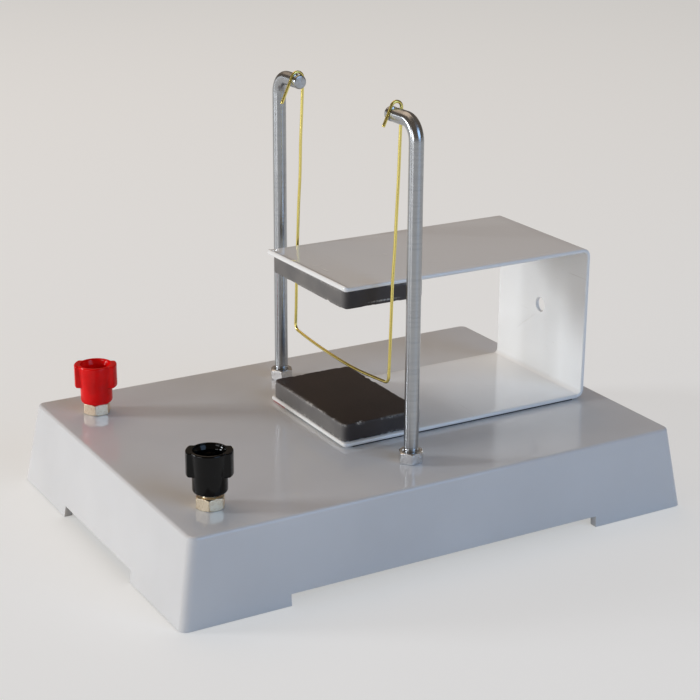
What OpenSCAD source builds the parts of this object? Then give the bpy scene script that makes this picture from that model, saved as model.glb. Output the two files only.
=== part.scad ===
// Ampere force apparatus: a wire swing hangs from two posts and dips between the poles of a
// magnet in a bent steel yoke. Two screw terminals on the base feed the posts from below.
// Millimetres. The origin is on the table under the middle of the base, +Z is up, +X runs along
// the base from the terminals to the closed end of the yoke, and -Y is the black terminal's side.

/* [Base] */
// Length of the base at the table
base_length = 200; // [180:1:240]
// Width of the base at the table
base_width = 141; // [132:1:180]
// Height of the base
base_height = 30; // [27:1:45]
// How far each end wall leans in from foot to top
end_lean = 5; // [2:0.5:8]
// How far each side wall leans in from foot to top
side_lean = 3; // [1:0.5:6]
// Thickness of the moulded walls and of the top
base_wall = 3; // [2:0.25:4]
// Rounding of the four upright corners
base_corner_r = 3; // [2:0.5:6]
// Rounding of the edge round the top
base_edge_r = 1.2; // [0.5:0.1:2]
// Height of the gaps between the feet
foot_gap_h = 4; // [2:0.5:8]
// Length of each foot along the long sides, from the corner
foot_long = 39; // [20:1:60]
// Length of each foot along the ends, from the corner
foot_short = 41; // [20:1:50]
// Thickness of the stiffening ribs under the top
rib_t = 2; // [1.5:0.25:3]
// Depth of the stiffening ribs below the top wall
rib_depth = 10; // [5:1:15]
// Distance between the two long ribs
rib_spacing = 56; // [40:1:66]
// Diameter of the bosses under the four holes
boss_d = 16; // [14:0.5:20]
// Depth of the bosses below the top wall
boss_depth = 2; // [1:0.5:4]

/* [Yoke and magnets] */
// Length of the yoke from its open end to the back
yoke_length = 103.5; // [80:0.5:110]
// Width of the yoke
yoke_width = 55.5; // [46:0.5:64]
// Height of the yoke outside
yoke_height = 58; // [50:0.5:66]
// Thickness of the yoke's sheet steel
yoke_t = 1.5; // [1:0.1:2]
// Outside radius of the yoke's two bends
yoke_bend_r = 3.2; // [2.5:0.1:6]
// Rounding of the corners at the yoke's open end
yoke_corner_r = 1.6; // [0.5:0.1:4]
// Diameter of the hole in the yoke's back
yoke_hole_d = 5.5; // [3:0.5:10]
// Distance from the open end of the yoke to the row of posts
yoke_reach = 15; // [10:0.5:25]
// Length of each magnet along the yoke
magnet_length = 32; // [20:0.5:40]
// How far each magnet stands in from the sides of the yoke
magnet_side_gap = 1.2; // [0.5:0.1:4]
// How far each magnet stands in from the open end of the yoke
magnet_end_gap = 0.5; // [0.2:0.1:4]
// Thickness of each magnet
magnet_t = 6.5; // [4:0.5:9]
// Rounding of the magnets' upright corners
magnet_corner_r = 2.4; // [1:0.1:4]
// Broken edge of the magnets
magnet_chamfer = 0.5; // [0.2:0.1:1]
// Thickness of the tape under the yoke
tape_t = 0.5; // [0.3:0.1:1]
// Width of each strip of tape
tape_width = 9; // [6:0.5:14]

/* [Posts] */
// Diameter of the post rods
post_d = 5; // [4:0.1:6]
// Height of the arms' axis above the base
post_height = 117.5; // [106:0.5:130]
// Radius of the bend between post and arm, at the rod's middle
post_bend_r = 6.5; // [5:0.5:10]
// Distance along an arm from the wire's hook to the post
post_reach = 13.6; // [12:0.1:20]
// Length of the knob beyond the groove at an arm's end
arm_tip = 1.9; // [1.5:0.1:2.6]
// Width of the groove that holds the wire's hook
groove_width = 2.1; // [1.8:0.1:3]
// Diameter of the rod at the bottom of the groove
groove_d = 3.2; // [2.5:0.1:3.8]
// Width across the flats of the post nuts
post_nut_af = 8; // [7:0.1:10]
// Height of the post nuts
post_nut_h = 4; // [3:0.1:5]

/* [Swing] */
// Diameter of the swing's wire
wire_d = 1.1; // [0.8:0.1:1.4]
// Distance between the side of the yoke and the wire's legs
leg_gap = 6.15; // [4:0.05:9]
// Height of the wire's bar above the lower magnet
bar_height = 15.5; // [12:0.5:24]
// Radius of the bends between legs and bar, at the wire's middle
bar_bend_r = 2.6; // [2:0.1:5]
// Radius of the far hook's top, at the wire's middle
far_hook_r = 2.25; // [2:0.05:2.4]
// Radius of the near hook's top, at the wire's middle
near_hook_r = 2; // [1.9:0.05:2.4]
// Slant of the hooks' free ends from upright
tail_slant = 22; // [16:1:30]
// Length of the free end beyond the far hook's top
far_tail = 10.5; // [5:0.5:14]
// Length of the free end beyond the near hook's top
near_tail = 7.5; // [5:0.5:14]

/* [Terminals] */
// Distance of the terminals from the sides of the base's top
terminal_side_inset = 19.5; // [14:0.5:28]
// Distance of the terminals from the end of the base's top
terminal_inset = 16.5; // [12:0.5:24]
// Diameter of the terminal studs
stud_d = 6; // [5.5:0.1:6.4]
// Diameter of the socket in the studs
socket_d = 4; // [3:0.1:4.2]
// Depth of the socket in the studs
socket_depth = 14; // [10:0.5:16]
// Width across the flats of the terminal nuts
terminal_nut_af = 9; // [8.5:0.1:10]
// Height of the terminal nuts
terminal_nut_h = 4.2; // [3:0.1:5]
// Height of the caps
cap_height = 14.6; // [13.5:0.1:17]
// Diameter of the caps' round skirt
skirt_d = 11.6; // [11.4:0.1:12]
// Height of the round skirt below the wings
skirt_height = 6.2; // [5:0.1:8.5]
// Diameter of the caps over their two wings
wing_d = 15.5; // [14.5:0.1:18]
// Thickness of the wings from face to face
wing_width = 7; // [5:0.1:8]
// Diameter of the recess in the caps' top
recess_d = 9.2; // [9:0.1:9.6]
// Depth of the recess in the caps' top
recess_depth = 4.6; // [4:0.1:5]
// How far the black cap is unscrewed above its nut
black_cap_rise = 1; // [0:0.1:2]
// Diameter of the brass inserts in the caps
insert_d = 8.4; // [8:0.1:8.6]
// Height of the brass inserts
insert_height = 8.5; // [6:0.1:8.6]
// How far the studs stand above the web inside the caps
stud_rise = 0.5; // [0.2:0.1:2]

/* [Fasteners below] */
// Width of the contact strips
strip_width = 9; // [8:0.5:10]
// Thickness of the contact strips
strip_t = 0.8; // [0.5:0.1:1.2]
// Diameter of the washers on the posts
post_washer_d = 10; // [9:0.5:12]
// Diameter of the washers on the terminals
terminal_washer_d = 11; // [10.5:0.5:13]
// Thickness of the washers
washer_t = 1; // [0.6:0.1:1.6]
// Length of thread that shows past the lower nuts
thread_end = 2; // [1:0.5:4]

/* [Clearances] */
// Play round rods and studs in their holes, on the radius
hole_play = 0.15; // [0.1:0.05:0.3]
// Play of nuts, inserts and caps on their round seats, on the radius
thread_play = 0.05; // [0.02:0.01:0.1]
// Gap between the wire's hooks and the arms' grooves, on the radius
hook_play = 0.3; // [0.2:0.05:0.4]

/* [Hidden] */
$fn = 64;
// Overrun of a cut past the face that it opens
cut = 1;
// Sides of the base's corner rounding, and steps of its edge rounding
corner_sides = 48;
edge_steps = 4;

// Base: half sizes of the top, and the plane under the bosses
top_half_x = base_length / 2 - end_lean;
top_half_y = base_width / 2 - side_lean;
under_top = base_height - base_wall;
under_boss = under_top - boss_depth;

// Yoke and magnets
post_x = -2.5;
yoke_x = post_x - yoke_reach;
yoke_z = base_height + tape_t;
magnet_width = yoke_width - 2 * magnet_side_gap;
lower_magnet_z = yoke_z + yoke_t;
upper_magnet_z = yoke_z + yoke_height - yoke_t - magnet_t;

// Posts and swing
arm_z = base_height + post_height;
swing_half = yoke_width / 2 + leg_gap;
post_y = swing_half + post_reach;
arm_end = swing_half - groove_width / 2 - arm_tip;
bar_drop = arm_z - (lower_magnet_z + magnet_t + bar_height);
leg_x = groove_d / 2 + hook_play + wire_d / 2;
hook_turn = 180 - tail_slant;
tail_way = [-sin(tail_slant), -cos(tail_slant)];

// A hook of radius r: its leg and its free end both pass the groove at the same distance
function hook_x(r) = leg_x - r;
function hook_z(r) = hook_x(r) / tan(tail_slant / 2);
function leg_length(r) = hook_z(r) + bar_drop - bar_bend_r;
function tail_start(r) = [hook_x(r) - r * cos(tail_slant), hook_z(r) + r * sin(tail_slant)];
function hook_middle(r) =
    [hook_x(r), hook_z(r)]
    + r * sin(hook_turn / 2) / (hook_turn / 2 * PI / 180) * [cos(hook_turn / 2), sin(hook_turn / 2)];

// Balance of the swing about the arms: each stretch of wire as its length and its middle in XZ.
// Leaning by this angle brings the swing's centre of mass under the arms.
function side_stretches(r, tail) = [
    [leg_length(r), [leg_x, hook_z(r) - leg_length(r) / 2]],
    [r * hook_turn * PI / 180, hook_middle(r)],
    [tail, tail_start(r) + tail_way * tail / 2]
];
wire_stretches = concat(
    side_stretches(far_hook_r, far_tail),
    side_stretches(near_hook_r, near_tail),
    [
        [PI * bar_bend_r, [leg_x, bar_bend_r * (1 - 2 / PI) - bar_drop]],
        [2 * (swing_half - bar_bend_r), [leg_x, -bar_drop]]
    ]
);
function moment(i = 0) =
    i == len(wire_stretches) ? [0, 0] : wire_stretches[i][0] * wire_stretches[i][1] + moment(i + 1);
swing_lean = atan2(moment()[0], -moment()[1]);

// Terminals, and the turn at which both caps stand on the object
terminal_x = terminal_inset - top_half_x;
terminal_y = top_half_y - terminal_side_inset;
cap_z = base_height + terminal_nut_h;
web_z = cap_z + cap_height - recess_depth;
stud_top = web_z + stud_rise;
wing_turn = 60;
wing_chamfer = 0.5;
skirt_round = 1;

// Turn of the post nuts as they were left when tightened
nut_turn = 6;

// Stack below the base
strip_z = under_boss - strip_t;
washer_z = strip_z - washer_t;
post_nut_z = washer_z - post_nut_h;
terminal_nut_z = washer_z - terminal_nut_h;

// Rectangle with round corners, centred
module rounded_rect(length, width, radius) {
    square([length - 2 * radius, width], center = true);
    square([length, width - 2 * radius], center = true);
    for (sx = [-1, 1], sy = [-1, 1])
        translate([sx * (length / 2 - radius), sy * (width / 2 - radius)])
            circle(radius);
}

// Leaning box with round upright corners: half sizes at the foot and at the top, from z0 to z1
module leaning_box(foot, top, z0, z1, corner, edge) {
    levels = [for (i = [0 : edge_steps]) 90 * i / edge_steps];
    hull()
        for (sx = [-1, 1], sy = [-1, 1]) {
            translate([sx * (foot[0] - corner), sy * (foot[1] - corner), z0])
                cylinder(r = corner, h = 0.01, $fn = corner_sides);
            for (a = levels)
                translate([sx * (top[0] - corner), sy * (top[1] - corner), z1 - edge * (1 - sin(a)) - 0.01])
                    cylinder(r = corner - edge * (1 - cos(a)), h = 0.01, $fn = corner_sides);
        }
}

// The base's outside, as one solid
module base_outside() {
    leaning_box([base_length / 2, base_width / 2], [top_half_x, top_half_y],
        0, base_height, base_corner_r, base_edge_r);
}

// The hollow under the base, open at the table
module base_hollow() {
    inner_r = max(base_corner_r - base_wall, 0) + 1;
    lean_x = end_lean / base_height;
    lean_y = side_lean / base_height;
    leaning_box(
        [base_length / 2 - base_wall + lean_x * cut, base_width / 2 - base_wall + lean_y * cut],
        [base_length / 2 - base_wall - lean_x * under_top, base_width / 2 - base_wall - lean_y * under_top],
        -cut, under_top, inner_r, 0);
}

// Places children at both posts or at both terminals
module at_posts() {
    for (side = [-1, 1])
        translate([post_x, side * post_y, 0])
            children();
}

module at_terminals() {
    for (side = [-1, 1])
        translate([terminal_x, side * terminal_y, 0])
            children();
}

// Ribs and bosses that stiffen the top from below
module base_stiffeners() {
    for (side = [-1, 1])
        translate([-base_length / 2, side * rib_spacing / 2 - rib_t / 2, under_top - rib_depth])
            cube([base_length, rib_t, rib_depth + base_wall / 2]);
    for (along = [-1, 0, 1])
        translate([along * top_half_x / 2 - rib_t / 2, -rib_spacing / 2, under_top - rib_depth])
            cube([rib_t, rib_spacing, rib_depth + base_wall / 2]);
    at_posts()
        translate([0, 0, under_boss])
            cylinder(d = boss_d, h = boss_depth + base_wall / 2);
    at_terminals()
        translate([0, 0, under_boss])
            cylinder(d = boss_d, h = boss_depth + base_wall / 2);
}

// Moulded base: leaning walls, open below, standing on four corner feet
module base_shell() {
    color("whitesmoke")
        difference() {
            union() {
                difference() {
                    base_outside();
                    base_hollow();
                }
                intersection() {
                    base_outside();
                    base_stiffeners();
                }
            }
            translate([foot_long - base_length / 2, -base_width / 2 - cut, -cut])
                cube([base_length - 2 * foot_long, base_width + 2 * cut, foot_gap_h + cut]);
            translate([-base_length / 2 - cut, foot_short - base_width / 2, -cut])
                cube([base_length + 2 * cut, base_width - 2 * foot_short, foot_gap_h + cut]);
            at_posts()
                translate([0, 0, under_boss - cut])
                    cylinder(d = post_d + 2 * hole_play, h = base_height);
            at_terminals()
                translate([0, 0, under_boss - cut])
                    cylinder(d = stud_d + 2 * hole_play, h = base_height);
        }
}

// Side view of a U lying on its side, open at the start of the first axis
module u_outline(length, height, radius) {
    square([length - radius, height]);
    translate([0, radius])
        square([length, height - 2 * radius]);
    for (z = [radius, height - radius])
        translate([length - radius, z])
            circle(radius);
}

// Bent sheet yoke: two plates and a back with a hole, white paint
module magnet_yoke() {
    color("white")
        translate([yoke_x, 0, yoke_z])
            difference() {
                intersection() {
                    rotate([90, 0, 0])
                        linear_extrude(yoke_width, center = true)
                            difference() {
                                u_outline(yoke_length, yoke_height, yoke_bend_r);
                                translate([-cut, yoke_t])
                                    u_outline(yoke_length - yoke_t + cut, yoke_height - 2 * yoke_t,
                                        yoke_bend_r - yoke_t);
                            }
                    linear_extrude(yoke_height) {
                        translate([yoke_corner_r, -yoke_width / 2])
                            square([yoke_length, yoke_width]);
                        translate([0, yoke_corner_r - yoke_width / 2])
                            square([yoke_length, yoke_width - 2 * yoke_corner_r]);
                        for (side = [-1, 1])
                            translate([yoke_corner_r, side * (yoke_width / 2 - yoke_corner_r)])
                                circle(yoke_corner_r);
                    }
                }
                translate([yoke_length - yoke_t - cut, 0, yoke_height / 2])
                    rotate([0, 90, 0])
                        cylinder(d = yoke_hole_d, h = yoke_t + 2 * cut);
            }
}

// Two strips of double-sided tape along the yoke's edges; the far one ends flush with the yoke
module yoke_tapes() {
    tape_y = yoke_width / 2 - tape_width - yoke_corner_r / 2;
    tape_length = yoke_length - yoke_bend_r - yoke_corner_r;
    near_setback = 4;
    color("indianred") {
        translate([yoke_x + yoke_corner_r / 2, tape_y, base_height])
            cube([tape_length, tape_width, tape_t]);
        translate([yoke_x + near_setback, -tape_y - tape_width, base_height])
            cube([tape_length - near_setback, tape_width, tape_t]);
    }
}

// Side view of a block with broken edges, standing on the first axis
module block_outline(length, height, chamfer) {
    half = length / 2;
    polygon([
        [chamfer - half, 0], [half - chamfer, 0], [half, chamfer], [half, height - chamfer],
        [half - chamfer, height], [chamfer - half, height], [-half, height - chamfer], [-half, chamfer]
    ]);
}

// Ferrite block with round upright corners and broken edges
module magnet_block() {
    translate([yoke_x + magnet_end_gap + magnet_length / 2, 0, 0])
        intersection() {
            linear_extrude(magnet_t)
                rounded_rect(magnet_length, magnet_width, magnet_corner_r);
            rotate([90, 0, 0])
                linear_extrude(magnet_width + 2 * cut, center = true)
                    block_outline(magnet_length, magnet_t, magnet_chamfer);
            rotate([90, 0, 90])
                linear_extrude(magnet_length + 2 * cut, center = true)
                    block_outline(magnet_width, magnet_t, magnet_chamfer);
        }
}

module upper_magnet() {
    color("dimgray")
        translate([0, 0, upper_magnet_z])
            magnet_block();
}

module lower_magnet() {
    color("dimgray")
        translate([0, 0, lower_magnet_z])
            magnet_block();
}

// Straight rod with broken ends, along +Z
module rod(diameter, length, chamfer) {
    radius = diameter / 2;
    rotate_extrude()
        polygon([
            [0, 0], [radius - chamfer, 0], [radius, chamfer], [radius, length - chamfer],
            [radius - chamfer, length], [0, length]
        ]);
}

// Bent rod: threaded foot through the base, upright, bend and grooved arm. The arm points to +Y.
module bent_post() {
    rod_chamfer = 0.5;
    foot = post_nut_z - thread_end;
    arm_length = post_y - arm_end;
    groove_at = arm_length - arm_tip - groove_width;
    translate([0, 0, foot])
        rod(post_d, arm_z - post_bend_r - foot + rod_chamfer, rod_chamfer);
    translate([0, post_bend_r, arm_z - post_bend_r])
        rotate([90, 0, -90])
            rotate_extrude(angle = 90)
                translate([post_bend_r, 0])
                    circle(d = post_d);
    translate([0, 0, arm_z])
        rotate([-90, 0, 0])
            difference() {
                translate([0, 0, post_bend_r - rod_chamfer])
                    rod(post_d, arm_length - post_bend_r + rod_chamfer, rod_chamfer);
                translate([0, 0, groove_at])
                    difference() {
                        cylinder(d = post_d + 2 * cut, h = groove_width);
                        translate([0, 0, -cut])
                            cylinder(d = groove_d, h = groove_width + 2 * cut);
                    }
            }
}

module far_post() {
    color("silver")
        translate([post_x, post_y, 0])
            mirror([0, 1, 0])
                bent_post();
}

module near_post() {
    color("silver")
        translate([post_x, -post_y, 0])
            bent_post();
}

// Hexagon nut with chamfered corners, standing on z = 0
module hex_nut(af, height, bore) {
    corner = af / 2 / cos(30);
    slope = (corner - af / 2) * tan(30);
    difference() {
        intersection() {
            cylinder(r = corner, h = height, $fn = 6);
            rotate_extrude()
                polygon([
                    [0, 0], [af / 2, 0], [corner, slope], [corner, height - slope],
                    [af / 2, height], [0, height]
                ]);
        }
        translate([0, 0, -cut])
            cylinder(d = bore, h = height + 2 * cut);
    }
}

// Flat washer standing on z = 0
module washer(outer, bore) {
    linear_extrude(washer_t)
        difference() {
            circle(d = outer);
            circle(d = bore);
        }
}

module post_top_nuts() {
    color("gainsboro")
        at_posts()
            translate([0, 0, base_height])
                rotate([0, 0, nut_turn])
                    hex_nut(post_nut_af, post_nut_h, post_d + 2 * thread_play);
}

module post_washers() {
    color("gainsboro")
        at_posts()
            translate([0, 0, washer_z])
                washer(post_washer_d, post_d + 2 * hole_play);
}

module post_bottom_nuts() {
    color("gainsboro")
        at_posts()
            translate([0, 0, post_nut_z])
                hex_nut(post_nut_af, post_nut_h, post_d + 2 * thread_play);
}

// One side of the swing, far (1) or near (-1): bend, leg, hook and free end.
// The arm's axis is the Y axis.
module swing_side(side, r, tail) {
    translate([leg_x, side * (swing_half - bar_bend_r), bar_bend_r - bar_drop])
        rotate([90 - 90 * side, 90, 0])
            rotate_extrude(angle = 90)
                translate([bar_bend_r, 0])
                    circle(d = wire_d);
    translate([leg_x, side * swing_half, bar_bend_r - bar_drop])
        cylinder(d = wire_d, h = leg_length(r));
    translate([hook_x(r), side * swing_half, hook_z(r)])
        rotate([90, 0, 0])
            rotate_extrude(angle = hook_turn)
                translate([r, 0])
                    circle(d = wire_d);
    translate([tail_start(r)[0], side * swing_half, tail_start(r)[1]])
        rotate([0, 180 + tail_slant, 0])
            cylinder(d = wire_d, h = tail);
    // A bead a hundredth of a millimetre proud makes each end of the hook one with what follows
    for (end = [[leg_x, hook_z(r)], tail_start(r)])
        translate([end[0], side * swing_half, end[1]])
            sphere(d = wire_d + 0.02);
}

// Wire swing hooked over both arms, leaning so that it hangs in balance
module swing_wire() {
    color("goldenrod")
        translate([post_x, 0, arm_z])
            rotate([0, swing_lean, 0]) {
                translate([leg_x, bar_bend_r - swing_half, -bar_drop])
                    rotate([-90, 0, 0])
                        cylinder(d = wire_d, h = 2 * (swing_half - bar_bend_r));
                swing_side(1, far_hook_r, far_tail);
                swing_side(-1, near_hook_r, near_tail);
            }
}

// Screw cap: round skirt and rim, two wings along Y, recess in the top, bores for the insert and the stud
module screw_cap() {
    rim = skirt_d / 2;
    tip = wing_d / 2;
    difference() {
        union() {
            rotate_extrude() {
                translate([0, skirt_round])
                    square([rim, cap_height - skirt_round]);
                square([rim - skirt_round, cap_height]);
                translate([rim - skirt_round, skirt_round])
                    circle(skirt_round);
            }
            intersection() {
                translate([-wing_width / 2, -tip, skirt_height])
                    cube([wing_width, wing_d, cap_height - skirt_height]);
                rotate_extrude()
                    polygon([
                        [0, skirt_height], [tip - wing_chamfer, skirt_height],
                        [tip, skirt_height + wing_chamfer], [tip, cap_height - wing_chamfer],
                        [tip - wing_chamfer, cap_height], [0, cap_height]
                    ]);
            }
        }
        translate([0, 0, cap_height - recess_depth])
            cylinder(d = recess_d, h = recess_depth + cut);
        translate([0, 0, -cut])
            cylinder(d = stud_d + 4 * hole_play, h = cap_height);
        translate([0, 0, -cut])
            cylinder(d = insert_d + 2 * thread_play, h = insert_height + cut);
    }
}

// Round brass insert that carries the cap's thread
module cap_insert() {
    difference() {
        cylinder(d = insert_d, h = insert_height);
        translate([0, 0, -cut])
            cylinder(d = stud_d + 2 * thread_play, h = insert_height + 2 * cut);
    }
}

// Threaded stud with a plug socket in its top
module terminal_stud() {
    stud_foot = terminal_nut_z - thread_end;
    stud_chamfer = 0.4;
    difference() {
        translate([0, 0, stud_foot])
            rod(stud_d, stud_top - stud_foot, stud_chamfer);
        translate([0, 0, stud_top - socket_depth])
            cylinder(d = socket_d, h = socket_depth + cut);
    }
}

module at_red() {
    translate([terminal_x, terminal_y, 0])
        children();
}

module at_black() {
    translate([terminal_x, -terminal_y, 0])
        children();
}

module red_cap() {
    color("crimson")
        at_red()
            translate([0, 0, cap_z])
                rotate([0, 0, wing_turn])
                    screw_cap();
}

module red_cap_insert() {
    color("goldenrod")
        at_red()
            translate([0, 0, cap_z])
                cap_insert();
}

module red_stud() {
    color("goldenrod")
        at_red()
            terminal_stud();
}

module black_cap() {
    color("black")
        at_black()
            translate([0, 0, cap_z + black_cap_rise])
                rotate([0, 0, wing_turn])
                    screw_cap();
}

module black_cap_insert() {
    color("goldenrod")
        at_black()
            translate([0, 0, cap_z + black_cap_rise])
                cap_insert();
}

module black_stud() {
    color("goldenrod")
        at_black()
            terminal_stud();
}

module terminal_top_nuts() {
    color("palegoldenrod")
        at_terminals()
            translate([0, 0, base_height])
                hex_nut(terminal_nut_af, terminal_nut_h, stud_d + 2 * thread_play);
}

module terminal_washers() {
    color("palegoldenrod")
        at_terminals()
            translate([0, 0, washer_z])
                washer(terminal_washer_d, stud_d + 2 * hole_play);
}

module terminal_bottom_nuts() {
    color("palegoldenrod")
        at_terminals()
            translate([0, 0, terminal_nut_z])
                hex_nut(terminal_nut_af, terminal_nut_h, stud_d + 2 * thread_play);
}

// Flat strip with round ends that joins a terminal to the post on its own side
module contact_strip(side) {
    from = [terminal_x, side * terminal_y];
    to = [post_x, side * post_y];
    way = to - from;
    reach = norm(way);
    color("peru")
        translate([from[0], from[1], strip_z])
            rotate([0, 0, atan2(way[1], way[0])])
                linear_extrude(strip_t)
                    difference() {
                        union() {
                            translate([0, -strip_width / 2])
                                square([reach, strip_width]);
                            circle(d = strip_width);
                            translate([reach, 0])
                                circle(d = strip_width);
                        }
                        circle(d = stud_d + 2 * hole_play);
                        translate([reach, 0])
                            circle(d = post_d + 2 * hole_play);
                    }
}

module far_contact_strip() {
    contact_strip(1);
}

module near_contact_strip() {
    contact_strip(-1);
}

base_shell();
magnet_yoke();
yoke_tapes();
upper_magnet();
lower_magnet();
far_post();
near_post();
post_top_nuts();
post_washers();
post_bottom_nuts();
swing_wire();
red_cap();
red_cap_insert();
red_stud();
black_cap();
black_cap_insert();
black_stud();
terminal_top_nuts();
terminal_washers();
terminal_bottom_nuts();
far_contact_strip();
near_contact_strip();
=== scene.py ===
import math

import bmesh
import bpy
import numpy as np
from mathutils import Matrix


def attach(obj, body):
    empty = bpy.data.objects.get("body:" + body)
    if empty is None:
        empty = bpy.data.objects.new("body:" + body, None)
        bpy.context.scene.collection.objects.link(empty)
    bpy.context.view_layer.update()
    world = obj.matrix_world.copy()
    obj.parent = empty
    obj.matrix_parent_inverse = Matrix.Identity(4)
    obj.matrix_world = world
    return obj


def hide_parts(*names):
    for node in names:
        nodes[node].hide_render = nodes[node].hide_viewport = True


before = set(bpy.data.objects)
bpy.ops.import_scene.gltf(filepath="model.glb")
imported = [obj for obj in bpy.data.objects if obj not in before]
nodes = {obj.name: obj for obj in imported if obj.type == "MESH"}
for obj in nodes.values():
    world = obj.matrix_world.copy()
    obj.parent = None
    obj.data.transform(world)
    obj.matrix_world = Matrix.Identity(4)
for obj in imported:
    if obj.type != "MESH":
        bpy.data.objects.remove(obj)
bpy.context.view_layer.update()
print("frame:", len(nodes), "nodes")


# Helpers for numbers and meshes

def linearColour(hexText):
    # sRGB hex to the linear colour that shaders take
    c = np.array([int(hexText[i:i + 2], 16) for i in (1, 3, 5)]) / 255.0
    c = np.where(c <= 0.04045, c / 12.92, ((c + 0.055) / 1.055) ** 2.4)
    return (*c.tolist(), 1.0)


def nodeBox(name):
    # lowest and highest corner of a CAD node, in millimetres to the nearest thousandth
    mesh = nodes[name].data
    flat = np.empty(3 * len(mesh.vertices), dtype=np.float32)
    mesh.vertices.foreach_get("co", flat)
    corners = flat.reshape(-1, 3).astype(float) * 1000
    return np.round(corners.min(axis=0), 3), np.round(corners.max(axis=0), 3)


def quadGrid(rows, cols, closeRows=False):
    # every cell of a rows by cols grid of points, as four point numbers
    i = np.arange(rows if closeRows else rows - 1)[:, None]
    j = np.arange(cols - 1)[None, :]
    here = i * cols + j
    after = (i + 1) % rows * cols + j
    return np.stack([here, here + 1, after + 1, after], axis=-1).reshape(-1, 4)


def softMin(a, b, width):
    # the smaller of two values with its corner rounded over about this width
    low = np.minimum(a, b)
    return low - width * np.log(np.exp(-(a - low) / width) + np.exp(-(b - low) / width))


def ripple(x, seed, waves, longest):
    # smooth wandering value along x: a few sine waves of random phase, each shorter and smaller
    rng = np.random.default_rng(seed)
    total = np.zeros_like(x, dtype=float)
    for k in range(waves):
        total += np.sin(2 * np.pi * x * (k + 1) / longest + rng.uniform(0, 6.28)) / (k + 1)
    return total


def roundIn(gap, r):
    # how far a quarter-round edge of radius r draws in at this distance from the end
    return np.where(gap < r, r - np.sqrt(np.clip(r * r - (r - gap) ** 2, 0, None)), 0.0)


rowsPerPitch = 8  # rows of points on one turn of a thread


def threadWave(along, a, pitch):
    # 0 on the crest and 1 in the root of a right-hand thread: a triangle wave that winds once per pitch
    return np.abs(((along[:, None] / pitch - a[None, :] / (2 * np.pi)) % 1.0) * 2 - 1)


def buildPiece(name, points, faces, material, body, node, uv=None, marks=None, sharp=38.0):
    # points in millimetres, faces as point numbers, uv one pair per point, marks named values per point
    mesh = bpy.data.meshes.new(name)
    flat = np.asarray(points, dtype=float).reshape(-1, 3) * 0.001
    mesh.from_pydata(flat.tolist(), [], [list(f) for f in faces])
    for key, value in (marks or {}).items():
        mesh.attributes.new(key, "FLOAT", "POINT").data.foreach_set("value", value.ravel())
    if uv is not None:
        layer = mesh.uv_layers.new(name="UVMap")
        corner = np.empty(len(mesh.loops), dtype=np.int32)
        mesh.loops.foreach_get("vertex_index", corner)
        layer.data.foreach_set("uv", np.asarray(uv, dtype=float).reshape(-1, 2)[corner].ravel())
    # seams and poles are closed, then all faces turned outwards
    bm = bmesh.new()
    bm.from_mesh(mesh)
    bmesh.ops.remove_doubles(bm, verts=bm.verts, dist=2e-6)
    bmesh.ops.dissolve_degenerate(bm, edges=bm.edges, dist=1e-7)
    bmesh.ops.recalc_face_normals(bm, faces=bm.faces)
    bm.to_mesh(mesh)
    bm.free()
    mesh.shade_smooth()
    mesh.set_sharp_from_angle(angle=math.radians(sharp))
    piece = bpy.data.objects.new(name, mesh)
    bpy.context.scene.collection.objects.link(piece)
    mesh.materials.append(material)
    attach(piece, body)
    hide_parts(node)
    print("piece:", name, len(mesh.polygons), "faces")


def ringSurface(radius, height, turn=0.0, closeRows=True):
    # round an upright axis: point = (radius cos a, radius sin a, height), a once round the axis
    rows, cols = radius.shape
    a = np.linspace(0, 2 * np.pi, cols) + math.radians(turn)
    z = np.broadcast_to(height, radius.shape)
    points = np.stack([radius * np.cos(a), radius * np.sin(a), z], axis=-1)
    return points, quadGrid(rows, cols, closeRows)


def routeThrough(stretches, step):
    # joins stretches of points into one dense route and gives it with the distance along it
    pts = np.concatenate([np.asarray(s, dtype=float) for s in stretches])
    keep = np.concatenate([[True], np.linalg.norm(np.diff(pts, axis=0), axis=1) > 1e-6])
    pts = pts[keep]
    far = np.concatenate([[0], np.cumsum(np.linalg.norm(np.diff(pts, axis=0), axis=1))])
    s = np.arange(0, far[-1] + step / 2, step)
    return np.stack([np.interp(s, far, pts[:, k]) for k in range(3)], axis=-1), s


def alongRoute(route, s, at, reach=0.15):
    # place on a route at the given distances, and direction from just before to just after
    def placeAt(d):
        return np.stack([np.interp(d, s, route[:, k]) for k in range(3)], axis=-1)

    way = placeAt(np.clip(at + reach, s[0], s[-1])) - placeAt(np.clip(at - reach, s[0], s[-1]))
    return placeAt(at), way / np.linalg.norm(way, axis=1, keepdims=True)


def tubeSurface(here, way, side, radius):
    # profile carried along a path: point = path + radius (cos a side + sin a (way x side)), both ends closed
    rows, cols = radius.shape
    a = np.linspace(0, 2 * np.pi, cols)
    up = np.cross(way, side)
    ring = np.cos(a)[None, :, None] * side[:, None, :] + np.sin(a)[None, :, None] * up[:, None, :]
    points = here[:, None, :] + radius[..., None] * ring
    last = (rows - 1) * cols
    ends = [list(range(cols - 1))[::-1], list(range(last, last + cols - 1))]
    return points, list(quadGrid(rows, cols)) + ends


# Helpers for materials

def addNode(tree, kind, settings=None, links=None, **fields):
    # one node with its fields, its fixed sockets and its incoming links
    node = tree.nodes.new(kind)
    for key, value in fields.items():
        setattr(node, key, value)
    for key, value in (settings or {}).items():
        node.inputs[key].default_value = value
    for key, source in (links or {}).items():
        tree.links.new(source, node.inputs[key])
    return node


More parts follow.
